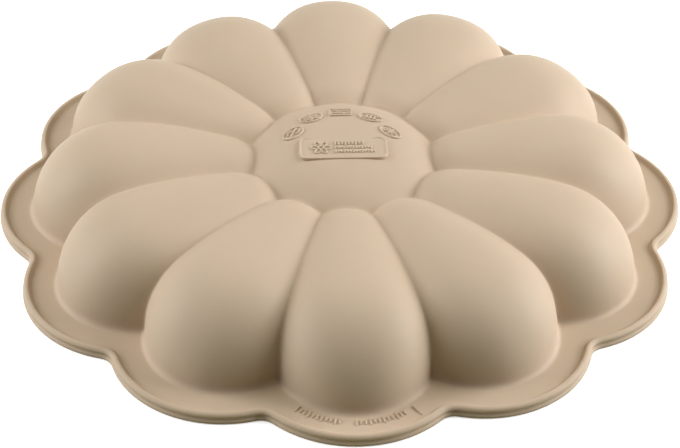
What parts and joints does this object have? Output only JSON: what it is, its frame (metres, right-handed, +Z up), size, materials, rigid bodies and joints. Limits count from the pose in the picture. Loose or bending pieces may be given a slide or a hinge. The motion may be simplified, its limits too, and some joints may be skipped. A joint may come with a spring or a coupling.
{
  "type": "silicone cake mould",
  "caption": "Flower-shaped flexible baking mould: hollow rounded petals round a flattened centre dome, on a flat scalloped flange with a raised rounded rim.",
  "frame": {"origin": "centre of the rim's underside, on the flower's axis, on the plane that the mould lies on", "axes": "+Z up along the flower's axis, away from the open side; -Y towards the front petal, the one nearest the label plate's front edge"},
  "size_m": [0.28, 0.28, 0.0366],
  "materials": {
    "silicone": "satin moulded silicone, beige"
  },
  "bodies": {
    "root": {"centre_dome": "silicone", "petal_01": "silicone", "petal_02": "silicone", "petal_03": "silicone", "petal_04": "silicone", "petal_05": "silicone", "petal_06": "silicone", "petal_07": "silicone", "petal_08": "silicone", "petal_09": "silicone", "petal_10": "silicone", "petal_11": "silicone", "petal_12": "silicone", "flange": "silicone", "rim": "silicone", "label_plate": "silicone", "badge_oval_1": "silicone", "badge_oval_2": "silicone", "badge_block": "silicone", "badge_oval_3": "silicone", "badge_oval_4": "silicone"}
  },
  "joints": []
}
